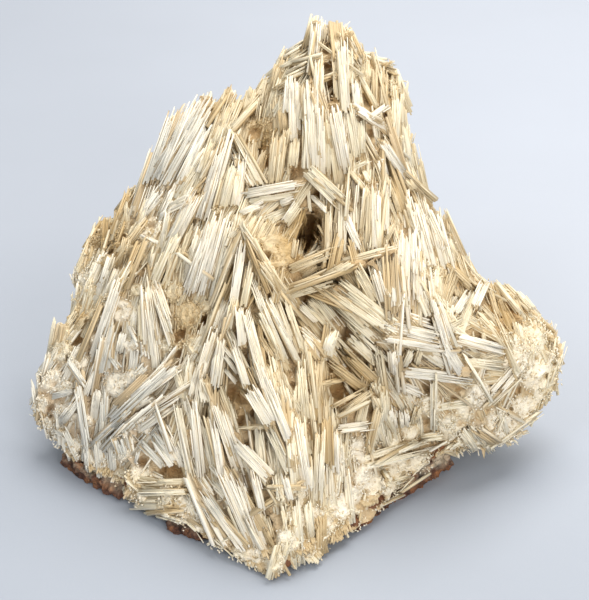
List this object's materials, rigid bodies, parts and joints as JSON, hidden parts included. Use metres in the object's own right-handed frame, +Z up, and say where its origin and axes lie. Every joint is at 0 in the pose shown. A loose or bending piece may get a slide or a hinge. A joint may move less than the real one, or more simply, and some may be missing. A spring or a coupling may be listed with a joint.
{
  "type": "cerussite specimen",
  "caption": "Peaked reticulated mass of pale striated crystal blades, with a side lobe and a dark hollow, grown on a thin iron-stained rock; rests on its flat underside.",
  "frame": {"origin": "the middle of the underside of the whole specimen's box, on the surface that it rests on", "axes": "+X runs along the width, towards the side lobe; -Y points at the display side; +Z is up, towards the peak"},
  "size_m": [0.1674, 0.144, 0.1277],
  "materials": {
    "cerussite": "silky, striated crystal",
    "iron_stained_rock": "rough, earthy"
  },
  "bodies": {
    "root": {"crystals": "cerussite", "matrix": "iron_stained_rock"}
  },
  "joints": []
}
